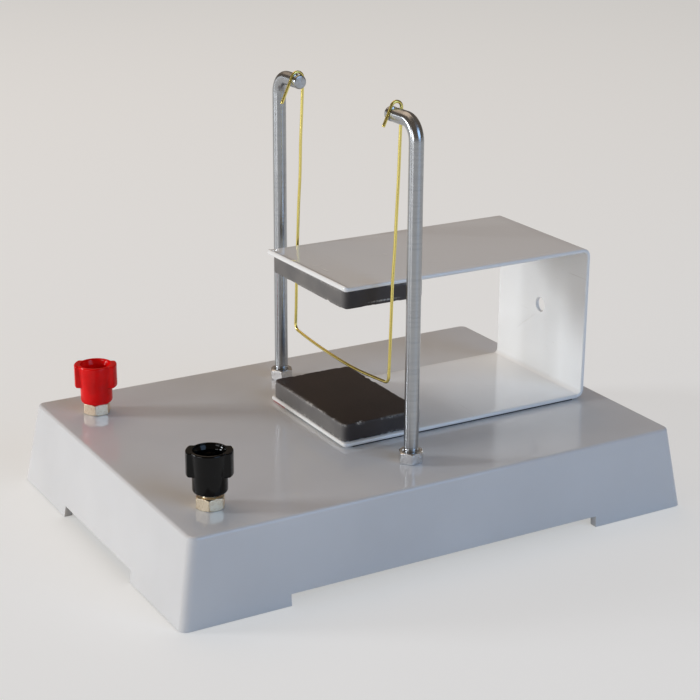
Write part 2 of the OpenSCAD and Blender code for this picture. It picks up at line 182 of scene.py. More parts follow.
def startMaterial(name, settings):
    # a material with one Principled shader, its fixed values set on its own sockets, and Object coordinates
    material = bpy.data.materials.new(name)
    material.use_nodes = True
    tree = material.node_tree
    tree.nodes.clear()
    shader = addNode(tree, "ShaderNodeBsdfPrincipled", settings)
    addNode(tree, "ShaderNodeOutputMaterial", links={"Surface": shader.outputs["BSDF"]})
    place = addNode(tree, "ShaderNodeTexCoord")
    return material, tree, shader, {"Vector": place.outputs["Object"]}


def joinUp(tree, shader, colour, rough, bump):
    # what varies over the surface goes to the shader
    tree.links.new(colour, shader.inputs["Base Color"])
    tree.links.new(rough, shader.inputs["Roughness"])
    tree.links.new(bump, shader.inputs["Normal"])


def rampStops(node, stops):
    # colour stops as (position, sRGB hex)
    ramp = node.color_ramp
    while len(ramp.elements) > 1:
        ramp.elements.remove(ramp.elements[-1])
    ramp.elements[0].position = stops[0][0]
    ramp.elements[0].color = linearColour(stops[0][1])
    for position, colour in stops[1:]:
        ramp.elements.new(position).color = linearColour(colour)


def scrapeMark(tree, where, scrape):
    # a long thin ellipsoid about a point, in millimetres and degrees: 1 at its middle, 0 at its skin
    centre, turn, size = scrape
    fit = addNode(tree, "ShaderNodeMapping", {
        "Location": [c / 1000 for c in centre], "Rotation": [math.radians(t) for t in turn],
        "Scale": [s / 1000 for s in size]}, where, vector_type="TEXTURE")
    ball = addNode(tree, "ShaderNodeTexGradient", links={"Vector": fit.outputs["Vector"]},
                   gradient_type="SPHERICAL")
    return ball.outputs["Fac"]


def strongest(tree, values):
    # the largest of several values
    most = values[0]
    for value in values[1:]:
        larger = addNode(tree, "ShaderNodeMath", links={0: most, 1: value}, operation="MAXIMUM")
        most = larger.outputs["Value"]
    return most


# Base: milky polypropylene moulded in a polished tool, so the top mirrors softly and light sinks in a little
basePlasticLook = {"colour": "#E2E3E4", "dull": "#DADBDC", "polished": 0.07, "hazed": 0.13, "rubbed": 0.04,
                   "cloudMm": 42.0, "waveMm": 11.0, "waveDeepMm": 0.6, "rubMm": 1.4, "rubDeepMm": 0.1}


def mouldedBasePlastic():
    look = basePlasticLook
    material, tree, shader, where = startMaterial("mouldedMilkyPlastic", {
        "IOR": 1.49, "Subsurface Weight": 0.25, "Subsurface Scale": 0.0025,
        "Subsurface Radius": (1.0, 0.95, 0.9)})
    cloud = addNode(tree, "ShaderNodeTexNoise", {"Scale": 1000 / look["cloudMm"], "Detail": 3.0}, where)
    tone = addNode(tree, "ShaderNodeValToRGB", links={"Fac": cloud.outputs["Fac"]})
    rampStops(tone, [(0.3, look["dull"]), (0.7, look["colour"])])
    # handling haze in broad patches, and rub marks drawn wider than they are so that they show
    rub = addNode(tree, "ShaderNodeTexNoise", {"Scale": 1000 / look["rubMm"], "Detail": 4.0}, where)
    haze = addNode(tree, "ShaderNodeMapRange", {
        "From Min": 0.3, "From Max": 0.75, "To Min": look["polished"], "To Max": look["hazed"]},
        {"Value": cloud.outputs["Fac"]})
    gloss = addNode(tree, "ShaderNodeMath", {1: look["rubbed"]},
                    {0: rub.outputs["Fac"], 2: haze.outputs["Result"]}, operation="MULTIPLY_ADD")
    # slow waves where the wall sank as it cooled, with the rub marks on top
    wave = addNode(tree, "ShaderNodeTexNoise", {"Scale": 1000 / look["waveMm"], "Detail": 1.0}, where)
    sink = addNode(tree, "ShaderNodeBump", {"Strength": 0.02, "Distance": look["waveDeepMm"] / 1000},
                   {"Height": wave.outputs["Fac"]})
    fine = addNode(tree, "ShaderNodeBump", {"Strength": 0.015, "Distance": look["rubDeepMm"] / 1000},
                   {"Height": rub.outputs["Fac"], "Normal": sink.outputs["Normal"]})
    joinUp(tree, shader, tone.outputs["Color"], gloss.outputs["Value"], fine.outputs["Normal"])
    return material


# Yoke: stoved white enamel sprayed on sheet steel, a smooth gloss with slight orange peel and some scratches;
# a scrape is its middle and its half lengths in millimetres, with its turn in degrees between them
enamelLook = {"colour": "#F8F9F8", "scratchAndShadowLine": "#B5B0A8", "polished": 0.09, "scuffed": 0.5,
              "peelMm": 2.2, "peelDeepMm": 0.2, "hairMm": 0.6, "hairDrawn": 40.0, "hairMost": 0.3,
              "hairTurns": ((0.0, 0.0, -0.5), (0.9, 0.0, 1.9), (-0.66, 0.0, 1.57)),  # radians
              "scrapeAndShadowTone": 0.3, "scrapeDeepMm": 0.2,
              "scrapes": (((-12.4, 1.4, 88.5), (0, 0, -25), (2.8, 0.45, 1)),
                          ((-12.5, -4.8, 88.5), (0, 0, -83), (3.0, 0.45, 1)),
                          ((16.1, 2.0, 88.5), (0, 0, -76), (1.5, 0.4, 1)),
                          # the last scrape, on the back plate below the hole, is a painted shadow edge: a
                          # faint dark line where shade falls
                          ((84.5, 8.7, 50.5), (-37.6, 0, 0), (1, 8.5, 0.35)))}


def stovedEnamel():
    look = enamelLook
    material, tree, shader, where = startMaterial("stovedWhiteEnamel", {"IOR": 1.54})
    peel = addNode(tree, "ShaderNodeTexNoise", {"Scale": 1000 / look["peelMm"], "Detail": 1.5}, where)
    # hairline scratches: noise drawn out along a few directions, of which only the peaks show;
    # they are coarser than real ones so that they show at all
    hairs = []
    for turn in look["hairTurns"]:
        drawn = addNode(tree, "ShaderNodeMapping", {"Rotation": turn, "Scale": (look["hairDrawn"], 1.0, 1.0)},
                        where, vector_type="TEXTURE")
        hair = addNode(tree, "ShaderNodeTexNoise", {"Scale": 1000 / look["hairMm"], "Detail": 1.0},
                       {"Vector": drawn.outputs["Vector"]})
        peak = addNode(tree, "ShaderNodeMapRange", {
            "From Min": 0.76, "From Max": 0.84, "To Max": look["hairMost"]}, {"Value": hair.outputs["Fac"]})
        hairs.append(peak.outputs["Result"])
    scrape = strongest(tree, [scrapeMark(tree, where, s) for s in look["scrapes"]])
    # scrapes darken the enamel slightly; on the back plate this darkening is a painted shadow line
    faint = addNode(tree, "ShaderNodeMath", {1: look["scrapeAndShadowTone"]}, {0: scrape}, operation="MULTIPLY")
    mark = strongest(tree, hairs + [faint.outputs["Value"]])
    tone = addNode(tree, "ShaderNodeMix", {
        6: linearColour(look["colour"]), 7: linearColour(look["scratchAndShadowLine"])}, {0: mark}, data_type="RGBA")
    # a scrape hardly darkens the enamel, but takes most of its gloss
    rub = strongest(tree, hairs + [scrape])
    gloss = addNode(tree, "ShaderNodeMapRange", {"To Min": look["polished"], "To Max": look["scuffed"]},
                    {"Value": rub})
    skin = addNode(tree, "ShaderNodeBump", {"Strength": 0.03, "Distance": look["peelDeepMm"] / 1000},
                   {"Height": peel.outputs["Fac"]})
    cut = addNode(tree, "ShaderNodeBump", {"Strength": 0.4, "Distance": look["scrapeDeepMm"] / 1000},
                  {"Height": scrape, "Normal": skin.outputs["Normal"]}, invert=True)
    joinUp(tree, shader, tone.outputs[2], gloss.outputs["Result"], cut.outputs["Normal"])
    return material


# Magnets: sintered ferrite; the ground pole faces are dark and smooth, the fired sides greyer, and this split
# also paints
# light and shade: the tops and the sides along X are painted dark as if unlit, the ends lighter as if lit
# from the left;
# the edges worn pale; a scrape is given as for the enamel
ferriteLook = {"shadedGroundFace": "#241C1B", "shadedGroundWarm": "#2C2120", "side": "#74716E", "sideDark": "#636160",
               "worn": "#B9B6B0", "smooth": 0.36, "dull": 0.6, "patchMm": 18.0, "grainMm": 0.7,
               "grainDeepMm": 0.12, "lineMm": 0.5, "lineDrawn": 0.03, "scrapeWear": 1.6,
               "scrapes": (((-1.5, -26.5, 81.8), (0, 0, 0), (8.0, 1.5, 0.45)),
                           ((-10.4, -25.9, 38.4), (0, 0, 20), (1.8, 0.7, 0.5)),
                           ((-16.9, -9.0, 38.4), (0, 0, 90), (2.4, 0.4, 0.35)))}


def groundFerrite():
    look = ferriteLook
    material, tree, shader, where = startMaterial("groundSinteredFerrite", {
        "IOR": 1.6, "Specular IOR Level": 0.3})
    patch = addNode(tree, "ShaderNodeTexNoise", {"Scale": 1000 / look["patchMm"], "Detail": 4.0}, where)
    grain = addNode(tree, "ShaderNodeTexNoise", {
        "Scale": 1000 / look["grainMm"], "Detail": 5.0, "Roughness": 0.7}, where)
    tones = {}
    for name, dark, light in (("shadedGroundFace", "shadedGroundFace", "shadedGroundWarm"), ("side", "sideDark", "side")):
        tones[name] = addNode(tree, "ShaderNodeValToRGB", links={"Fac": patch.outputs["Fac"]})
        rampStops(tones[name], [(0.38, look[dark]), (0.62, look[light])])
    # share of the dark ground-face tone, which is also painted shade; the rest takes the lighter side tone,
    # painted as lit
    shadedGroundFace = addNode(tree, "ShaderNodeAttribute", attribute_name="shadedGroundFace")  # how far the face is ground
    face = addNode(tree, "ShaderNodeMix", links={
        0: shadedGroundFace.outputs["Fac"], 6: tones["side"].outputs["Color"], 7: tones["shadedGroundFace"].outputs["Color"]},
        data_type="RGBA")
    # wear sits on the edges, broken up by the grain; scrapes lie where something rubbed
    edge = addNode(tree, "ShaderNodeAttribute", attribute_name="wear")
    scrape = strongest(tree, [scrapeMark(tree, where, s) for s in look["scrapes"]])
    rubbed = addNode(tree, "ShaderNodeMath", {1: look["scrapeWear"]}, {0: scrape, 2: edge.outputs["Fac"]},
                     operation="MULTIPLY_ADD")
    broken = addNode(tree, "ShaderNodeMapRange", {"From Min": 0.4, "From Max": 0.62},
                     {"Value": grain.outputs["Fac"]})
    worn = addNode(tree, "ShaderNodeMath", links={0: rubbed.outputs["Value"], 1: broken.outputs["Result"]},
                   operation="MULTIPLY", use_clamp=True)
    tone = addNode(tree, "ShaderNodeMix", {7: linearColour(look["worn"])},
                   {0: worn.outputs["Value"], 6: face.outputs[2]}, data_type="RGBA")
    gloss = addNode(tree, "ShaderNodeMapRange", {"To Min": look["smooth"], "To Max": look["dull"]},
                    {"Value": grain.outputs["Fac"]})
    # grinding lines run across the block, drawn wider than real ones so that they show
    along = addNode(tree, "ShaderNodeMapping", {"Scale": (1.0, look["lineDrawn"], 1.0)}, where)
    lines = addNode(tree, "ShaderNodeTexNoise", {"Scale": 1000 / look["lineMm"], "Detail": 2.0},
                    {"Vector": along.outputs["Vector"]})
    height = addNode(tree, "ShaderNodeMath", links={0: grain.outputs["Fac"], 1: lines.outputs["Fac"]},
                     operation="ADD")
    bump = addNode(tree, "ShaderNodeBump", {"Strength": 0.14, "Distance": look["grainDeepMm"] / 1000},
                   {"Height": height.outputs["Value"]})
    joinUp(tree, shader, tone.outputs[2], gloss.outputs["Result"], bump.outputs["Normal"])
    return material


# Metals: a ground rod has rings so fine that they draw its highlight out into a stripe along it,
# a drawn wire has lines along it that break its highlight, and turned stock has an even satin;
# the lines are drawn coarser than real ones so that they show
metalLooks = {
    "zincPlatedGroundRod": {"colour": "#ACAFB2", "dark": "#A4A7AB", "smooth": 0.21, "dull": 0.25,
                            "lineMm": 0.9, "drawnOut": (0.02, 1.0, 1.0), "stripe": 0.85},
    "zincPlatedTurnedSteel": {"colour": "#E6E7E8", "dark": "#D6D7D8", "smooth": 0.22, "dull": 0.32,
                              "lineMm": 0.6},
    "drawnBrassWire": {"colour": "#F0DF86", "dark": "#CBB962", "smooth": 0.18, "dull": 0.28,
                       "lineMm": 0.5, "drawnOut": (1.0, 0.012, 1.0)},
    "turnedPaleBrass": {"colour": "#F6E8CE", "dark": "#E8D6B8", "smooth": 0.32, "dull": 0.42,
                        "lineMm": 0.6},
    "rolledBrassStrip": {"colour": "#CFA65C", "dark": "#9C763C", "smooth": 0.2, "dull": 0.4,
                         "lineMm": 0.8},
}
metalSkin = {"hazeMm": 14.0, "lineDeepMm": 0.1}  # fingered haze and fine lines, alike on all of them


def bareMetal(name):
    look = metalLooks[name]
    material, tree, shader, where = startMaterial(name, {"Metallic": 1.0})
    lineRun, scale = where, 1000 / look["lineMm"]
    if "drawnOut" in look:  # UV is in millimetres: x round the rod, y along it
        skin = addNode(tree, "ShaderNodeTexCoord")
        run = addNode(tree, "ShaderNodeMapping", {"Scale": look["drawnOut"]}, {"Vector": skin.outputs["UV"]})
        lineRun, scale = {"Vector": run.outputs["Vector"]}, 1 / look["lineMm"]
    if "stripe" in look:  # a quarter turn from the UV's x, so the highlight spreads along the rod
        shader.inputs["Anisotropic"].default_value = look["stripe"]
        shader.inputs["Anisotropic Rotation"].default_value = 0.25
        girth = addNode(tree, "ShaderNodeTangent", direction_type="UV_MAP", uv_map="UVMap")
        tree.links.new(girth.outputs["Tangent"], shader.inputs["Tangent"])
    lines = addNode(tree, "ShaderNodeTexNoise", {"Scale": scale, "Detail": 3.0}, lineRun)
    tone = addNode(tree, "ShaderNodeValToRGB", links={"Fac": lines.outputs["Fac"]})
    rampStops(tone, [(0.32, look["dark"]), (0.55, look["colour"])])
    haze = addNode(tree, "ShaderNodeTexNoise", {"Scale": 1000 / metalSkin["hazeMm"], "Detail": 4.0}, where)
    gloss = addNode(tree, "ShaderNodeMapRange", {
        "From Min": 0.4, "From Max": 0.72, "To Min": look["smooth"], "To Max": look["dull"]},
        {"Value": haze.outputs["Fac"]})
    bump = addNode(tree, "ShaderNodeBump", {"Strength": 0.04, "Distance": metalSkin["lineDeepMm"] / 1000},
                   {"Height": lines.outputs["Fac"]})
    joinUp(tree, shader, tone.outputs["Color"], gloss.outputs["Result"], bump.outputs["Normal"])
    return material


# Caps: phenolic from a polished tool, with deep even colour, small sharp highlights and faint flow marks
phenolicLook = {"red": ("#F30A0C", "#E2080A"), "black": ("#070708", "#050505"), "polished": 0.07,
                "hazed": 0.15, "flowMm": 5.0, "flowDeepMm": 0.2, "fineMm": 0.8}


def mouldedPhenolic(name, shade):
    look = phenolicLook
    colour, dull = look[shade]
    material, tree, shader, where = startMaterial(name, {"IOR": 1.5, "Specular IOR Level": 0.2})
    flow = addNode(tree, "ShaderNodeTexNoise", {"Scale": 1000 / look["flowMm"], "Detail": 3.0}, where)
    fine = addNode(tree, "ShaderNodeTexNoise", {
        "Scale": 1000 / look["fineMm"], "Detail": 4.0, "Roughness": 0.7}, where)
    tone = addNode(tree, "ShaderNodeValToRGB", links={"Fac": flow.outputs["Fac"]})
    rampStops(tone, [(0.35, dull), (0.6, colour)])
    gloss = addNode(tree, "ShaderNodeMapRange", {
        "From Min": 0.35, "From Max": 0.75, "To Min": look["polished"], "To Max": look["hazed"]},
        {"Value": fine.outputs["Fac"]})
    bump = addNode(tree, "ShaderNodeBump", {"Strength": 0.05, "Distance": look["flowDeepMm"] / 1000},
                   {"Height": flow.outputs["Fac"]})
    joinUp(tree, shader, tone.outputs["Color"], gloss.outputs["Result"], bump.outputs["Normal"])
    return material


# Tape: near-black foam strip, its dark also painting the shade in the gap under the plate, whose red film
# still sticks out at the yoke's open end
tapeLook = {"film": "#B03A34", "filmRough": 0.45, "shadedFoam": "#262324", "foamRough": 0.85, "filmFromMm": -14.6,
            "filmToMm": -15.2, "creaseMm": 1.5, "creaseDeepMm": 0.2}


def foamTape():
    look = tapeLook
    material, tree, shader, where = startMaterial("foamTapeRedFilm", {"IOR": 1.45})
    crease = addNode(tree, "ShaderNodeTexNoise", {"Scale": 1000 / look["creaseMm"], "Detail": 3.0}, where)
    xyz = addNode(tree, "ShaderNodeSeparateXYZ", links=where)
    film = addNode(tree, "ShaderNodeMapRange", {
        "From Min": look["filmFromMm"] / 1000, "From Max": look["filmToMm"] / 1000},
        {"Value": xyz.outputs["X"]})
    # beyond the film the tape is near black: the foam's own colour, and painted shade under the plate as well
    tone = addNode(tree, "ShaderNodeMix", {6: linearColour(look["shadedFoam"]), 7: linearColour(look["film"])},
                   {0: film.outputs["Result"]}, data_type="RGBA")
    gloss = addNode(tree, "ShaderNodeMapRange", {"To Min": look["foamRough"], "To Max": look["filmRough"]},
                    {"Value": film.outputs["Result"]})
    bump = addNode(tree, "ShaderNodeBump", {"Strength": 0.2, "Distance": look["creaseDeepMm"] / 1000},
                   {"Height": crease.outputs["Fac"]})
    joinUp(tree, shader, tone.outputs[2], gloss.outputs["Result"], bump.outputs["Normal"])
    return material


enamel = stovedEnamel()
ferrite = groundFerrite()
metals = {name: bareMetal(name) for name in metalLooks}
rodPlate = metals["zincPlatedGroundRod"]
nutPlate = metals["zincPlatedTurnedSteel"]
wireMetal = metals["drawnBrassWire"]
terminalBrass = metals["turnedPaleBrass"]
redPlastic = mouldedPhenolic("mouldedRedPhenolic", "red")
blackPlastic = mouldedPhenolic("mouldedBlackPhenolic", "black")
print("materials: made")

# Nodes that show as they are; the pieces below stand for the others
nodeFinishes = {
    "base_shell": mouldedBasePlastic(), "yoke_tapes": foamTape(), "post_washers": nutPlate,
    "red_cap_insert": terminalBrass, "black_cap_insert": terminalBrass, "terminal_washers": terminalBrass,
    "far_contact_strip": metals["rolledBrassStrip"], "near_contact_strip": metals["rolledBrassStrip"],
}
for nodeName, finish in nodeFinishes.items():
    slots = nodes[nodeName].material_slots
    for slot in slots:
        slot.material = finish
    if not slots:
        nodes[nodeName].data.materials.append(finish)
print("finishes: on", len(nodeFinishes), "nodes")


# Posts: bent rods with a rolled thread at the foot and a turned groove near the arm's end;
# pieces take their places and most main sizes from the boxes of CAD nodes, and lengths are in millimetres
postLow, postHigh = nodeBox("far_post")
postR = (postHigh[0] - postLow[0]) / 2
postForm = {"x": postLow[0] + postR, "y": postHigh[1] - postR, "armZ": postHigh[2] - postR, "r": postR,
            "armEnd": postLow[1], "foot": postLow[2], "bend": 6.5, "tip": 1.9, "groove": 2.1, "grooveR": 1.6,
            "shoulder": 0.24, "footEdge": 0.5, "tipEdge": 0.55, "threadTop": 35.6, "pitch": 0.8,
            "threadDepth": 0.36, "threadRunOut": 0.8, "around": 48, "bentRun": 32.0, "nickBack": 31.0,
            "nickDeep": 0.22, "nickLong": 0.55, "nickTurn": -0.9, "nickWide": 0.22}  # the last two in radians


def bentRod(name, sideSign, node):
    f = postForm
    x, y, top, b = f["x"], sideSign * f["y"], f["armZ"], f["bend"]
    turn = np.linspace(0, np.pi / 2, 60)
    inward = -sideSign
    upright = [[x, y, f["foot"]], [x, y, top - b]]
    cornerY = y + inward * b * (1 - np.cos(turn))
    corner = np.stack([np.full_like(turn, x), cornerY, top - b + b * np.sin(turn)], axis=-1)
    arm = [[x, y + inward * b, top], [x, sideSign * f["armEnd"], top]]
    route, s = routeThrough([upright, corner, arm], 0.05)
    end = s[-1]
    threadEnd = f["threadTop"] - f["foot"]
    grooveTo = end - f["tip"]
    grooveFrom = grooveTo - f["groove"]
    # rows are close where the thread, the bend, the groove and the ends need them
    at = np.unique(np.concatenate([
        np.linspace(0, f["footEdge"], 6),
        np.arange(f["footEdge"], threadEnd + 0.6, f["pitch"] / rowsPerPitch),
        np.arange(threadEnd, end - f["bentRun"], 2.0), np.arange(end - f["bentRun"], end - 6, 0.5),
        np.linspace(grooveFrom - 0.5, grooveTo + 0.5, 40),
        end - 0.6 + 0.6 * np.sin(np.linspace(0, np.pi / 2, 8))]))
    at = at[(at >= 0) & (at <= end)]
    here, way = alongRoute(route, s, at)
    side = np.broadcast_to(np.array([1.0, 0.0, 0.0]), here.shape)
    a = np.linspace(0, 2 * np.pi, f["around"] + 1)
    # radius: the thread faded in at both its ends, less a flat-bottomed groove and the rounded ends
    fade = np.clip((threadEnd - at) / f["threadRunOut"], 0, 1) * np.clip(at / f["threadRunOut"], 0, 1)
    radius = f["r"] - f["threadDepth"] * fade[:, None] * threadWave(at, a, f["pitch"])
    w = f["shoulder"]
    dip = np.clip((at - grooveFrom) / w + 0.5, 0, 1) * np.clip((grooveTo - at) / w + 0.5, 0, 1)
    cutIn = (f["r"] - f["grooveR"]) * dip + roundIn(at, f["footEdge"]) + roundIn(end - at, f["tipEdge"])
    radius = radius - cutIn[:, None]
    if sideSign < 0:  # a nick in the plating below the bend: a small bell-shaped dent
        gap = (a[None, :] - f["nickTurn"] + np.pi) % (2 * np.pi) - np.pi
        back = at[:, None] - end + f["nickBack"]
        nick = np.exp(-(back / f["nickLong"]) ** 2 - (gap / f["nickWide"]) ** 2)
        radius = radius - f["nickDeep"] * nick
    points, faces = tubeSurface(here, way, side, radius)
    uv = np.stack(np.broadcast_arrays(a[None, :] * f["r"], at[:, None]), axis=-1)
    buildPiece(name, points, faces, rodPlate, "base", node, uv)


bentRod("farPostRod", 1, "far_post")
bentRod("nearPostRod", -1, "near_post")


# Swing: one drawn wire bent by hand, so the bends aren't quite true;
# a wander is its seed, its number of waves and the longest of them
wireForm = {"r": 0.55, "half": 33.9, "drop": 93.5, "bendR": 2.6, "farHookR": 2.25, "nearHookR": 2.0,
            "legX": 2.45, "slant": 22.0, "tailFar": 10.5, "tailNear": 7.5, "bow": 1.8, "endEdge": 0.3,
            "wander": 0.16, "wanderX": (3, 5, 118.0), "wanderY": (5, 5, 96.0), "calmEnds": 24.0,
            "calmRun": 12.0, "turnRun": 40.0, "rowStep": 0.45, "around": 20}


def swingRoute():
    # the wire's middle line about the arms' axis: tail, hook, leg, bend, bowed bar, bend, leg, hook and tail
    f = wireForm
    t = math.radians(f["slant"])
    out = np.array([-math.sin(t), -math.cos(t)])

    def hookAndTail(r, tail, y):
        # from the free end, up over the groove and down into the leg
        hookX = f["legX"] - r
        hookZ = hookX / math.tan(t / 2)
        arc = np.linspace(math.pi - t, 0, 60)
        hook = np.stack([hookX + r * np.cos(arc), hookZ + r * np.sin(arc)], axis=-1)
        xz = np.concatenate([[hook[0] + out * tail], hook])
        return np.stack([xz[:, 0], np.full(len(xz), y), xz[:, 1]], axis=-1)

    h, b, low = f["half"], f["bendR"], -f["drop"]
    ease = np.linspace(0, np.pi / 2, 24)
    bendFar = np.stack([0 * ease + f["legX"], h - b + b * np.cos(ease), low + b - b * np.sin(ease)], axis=-1)
    bendNear = bendFar[::-1] * [1, -1, 1]
    barY = np.linspace(h - b, b - h, 60)
    sag = f["bow"] * (1 - (barY / (h - b)) ** 2)
    bar = np.stack([0 * barY + f["legX"], barY, low - sag], axis=-1)
    farHook = hookAndTail(f["farHookR"], f["tailFar"], h)
    nearHook = hookAndTail(f["nearHookR"], f["tailNear"], -h)[::-1]
    return routeThrough([farHook, bendFar, bar, bendNear, nearHook], 0.1)


def swingPiece():
    f = wireForm
    route, s = swingRoute()
    middle = route.mean(axis=0)
    lean = math.atan2(middle[0], -middle[2])  # brings the wire's middle of mass under the arms' axis
    # hand-bent wander, nothing near the hooks so they stay clear of the arms
    calm = np.clip((np.minimum(s, s[-1] - s) - f["calmEnds"]) / f["calmRun"], 0, 1)
    drift = np.stack([ripple(s, *f["wanderX"]), ripple(s, *f["wanderY"]), 0 * s], axis=-1)
    route = route + calm[:, None] * f["wander"] * drift
    x = route[:, 0] * math.cos(lean) + route[:, 2] * math.sin(lean)
    z = -route[:, 0] * math.sin(lean) + route[:, 2] * math.cos(lean)
    route = np.stack([x + postForm["x"], route[:, 1], z + postForm["armZ"]], axis=-1)
    nose = 0.5 - 0.5 * np.cos(np.linspace(0, np.pi / 2, 5))
    at = np.unique(np.concatenate([nose, np.arange(0.5, s[-1] - 0.5, f["rowStep"]), s[-1] - nose]))
    here, way = alongRoute(route, s, at)
    # side vector: across the hook's plane at both ends, along X on the bar, turned smoothly down each leg
    gap = np.minimum(at, s[-1] - at)
    turn = np.pi / 2 * np.clip((gap - f["calmEnds"]) / f["turnRun"], 0, 1)
    side = np.stack([np.sin(turn), np.cos(turn), 0 * turn], axis=-1)
    side = side - np.sum(side * way, axis=1, keepdims=True) * way
    side /= np.linalg.norm(side, axis=1, keepdims=True)
    a = np.linspace(0, 2 * np.pi, f["around"] + 1)
    radius = (f["r"] - roundIn(gap, f["endEdge"]))[:, None] + 0 * a[None, :]
    points, faces = tubeSurface(here, way, side, radius)
    uv = np.stack(np.broadcast_arrays(a[None, :] * f["r"], at[:, None]), axis=-1)
    buildPiece("swingWire", points, faces, wireMetal, "swing", "swing_wire", uv)


swingPiece()


# Caps: a round rim with two flat-sided wings, hollow from the top and from below
capLow, capHigh = nodeBox("red_cap")
capForm = {"x": (capLow[0] + capHigh[0]) / 2, "y": (capLow[1] + capHigh[1]) / 2,
           "high": capHigh[2] - capLow[2], "rim": 5.8, "tip": 7.75, "wingHalf": 3.5, "turn": -30.0,
           "skirtTop": 6.2, "foot": 1.3, "edge": 0.6, "edgeRun": 0.9, "recess": 4.6, "recessDeep": 4.6,
           "lip": 0.3, "web": 3.3, "seat": 4.25, "seatDeep": 8.52, "corner": 0.12, "root": 0.22, "flare": 0.6,
           "mouth": 0.8, "mouthDeep": 2.2, "around": 480}


def wingedCap(name, sideSign, material, body):
    # radius at an angle: the wing's flat side or its tip, whichever is nearer, and never less than the rim
    f = capForm
    a = np.linspace(0, 2 * np.pi, f["around"] + 1)
    flatSide = f["wingHalf"] / np.maximum(np.abs(np.sin(a)), 0.02)
    wing = softMin(flatSide, np.full_like(a, f["tip"]), f["corner"])
    q = np.linspace(0, np.pi / 2, 8)
    rim, e, top, st, lip, foot = (f[k] for k in ("rim", "edge", "high", "skirtTop", "lip", "foot"))
    floor, web, seat, recess = top - f["recessDeep"], f["web"], f["seat"], f["recess"]
    wide, mouth = rim + f["flare"], recess + f["mouth"]
    wallZ = np.linspace(st + 1.6, top - 1.4, 6)
    wallR = rim + f["flare"] * (wallZ - st) / (top - st)
    mouthZ = np.linspace(top - lip, top - f["mouthDeep"], 6)
    mouthR = recess + (mouth - recess) * np.cos(np.linspace(0, np.pi / 2, 6)) ** 2
    # each row: radius of the round wall, how far it is rounded in, share of the wings, their inset, height
    rows = [(seat, 0, 0, 0, lip), (seat + lip, 0, 0, 0, 0)]
    rows += [(rim, foot * (1 - np.sin(v)), 0, 0, foot * (1 - np.cos(v))) for v in q]
    rows += [(rim, 0, w, 0, z) for w, z in ((0, st - 0.6), (0, st - 0.05), (0.08, st), (0.4, st), (0.75, st))]
    rows += [(rim, 0, 1, e * (1 - np.sin(v)), st + e * (1 - np.cos(v))) for v in q]
    rows += [(r, 0, 1, 0, z) for r, z in zip(wallR, wallZ)]
    rows += [(wide, e * (1 - np.cos(v)), 1, 0, top - e * (1 - np.sin(v))) for v in q]
    rows += [(wide, wide - mouth - lip - 0.1, 0.4, 0, top)]
    rows += [(mouth, -lip * (1 - np.sin(v)), 0, 0, top - lip * (1 - np.cos(v))) for v in q]
    rows += [(r, 0, 0, 0, z) for r, z in zip(mouthR[1:], mouthZ[1:])]
    rows += [(recess, 0, 0, 0, floor + 1.4), (recess, 0, 0, 0, floor + lip), (recess - lip, 0, 0, 0, floor)]
    rows += [(web + lip, 0, 0, 0, floor), (web, 0, 0, 0, floor - lip), (web, 0, 0, 0, f["seatDeep"])]
    rows += [(seat, 0, 0, 0, f["seatDeep"])]
    rows = np.array(rows)
    wall = rows[:, :1]
    out = -softMin(-wing[None, :] + 0 * wall, -wall + 0 * wing[None, :], f["root"]) - wall
    inset = rows[:, 3:4] * np.clip(out / f["edgeRun"], 0, 1)
    radius = wall - rows[:, 1:2] + rows[:, 2:3] * out - inset
    points, faces = ringSurface(radius, rows[:, 4:5], f["turn"])
    points = points + [f["x"], sideSign * f["y"], nodeBox(body)[0][2]]  # the node has its body's name
    buildPiece(name, points, faces, material, body, body, sharp=50)


wingedCap("redWingedCap", 1, redPlastic, "red_cap")
wingedCap("blackWingedCap", -1, blackPlastic, "black_cap")


# Studs: threaded brass rods, each with a plug socket drilled down from its top
studForm = {"r": 3.0, "socketR": 2.0, "socketDeep": 14.0, "drillPoint": 0.8, "pitch": 1.0,
            "threadDepth": 0.34, "edge": 0.4, "mouth": 0.25, "around": 60}


def threadedStud(name, sideSign, node):
    # one outline turned round the axis: foot, threaded wall, mouth, socket wall and drill point
    f = studForm
    a = np.linspace(0, 2 * np.pi, f["around"] + 1)
    z0, z1 = (corner[2] for corner in nodeBox(node))
    e, r = f["edge"], f["r"]
    wallZ = np.arange(z0, z1 + 0.01, f["pitch"] / rowsPerPitch)
    gap = np.minimum(wallZ - z0, z1 - wallZ)
    wall = r - np.clip(e - gap, 0, None)[:, None] - f["threadDepth"] * threadWave(wallZ, a, f["pitch"])
    socket, floorZ = f["socketR"], z1 - f["socketDeep"]
    inner = np.array([(socket + f["mouth"], z1), (socket, z1 - f["mouth"]), (socket, floorZ),
                      (0, floorZ - f["drillPoint"])])
    radius = np.concatenate([0 * a[None, :], wall, inner[:, :1] + 0 * a[None, :]])
    height = np.concatenate([[z0], wallZ, inner[:, 1]])[:, None]
    points, faces = ringSurface(radius, height, closeRows=False)
    points = points + [capForm["x"], sideSign * capForm["y"], 0]
    buildPiece(name, points, faces, terminalBrass, "base", node, sharp=30)


threadedStud("redThreadedStud", 1, "red_stud")
threadedStud("blackThreadedStud", -1, "black_stud")


# Nuts: radius = the hexagon's or the chamfer cone's, whichever is smaller, softened on the corners
nutForm = {"post": {"af": 8.0, "bore": 2.55, "turn": 6.0, "at": postForm, "finish": nutPlate,
                    "slot": "nut_plate"},
           "terminal": {"af": 9.0, "bore": 3.05, "turn": 0.0, "at": capForm, "finish": terminalBrass,
                        "slot": "terminal_brass"},
           "chamfer": 30.0, "chamferPast": 0.15, "faceShare": 0.97, "faceSoft": 0.04, "corner": 0.08,
           "cornerSoft": 0.05, "mouth": 0.35, "mouthDeep": 0.3, "around": 192}


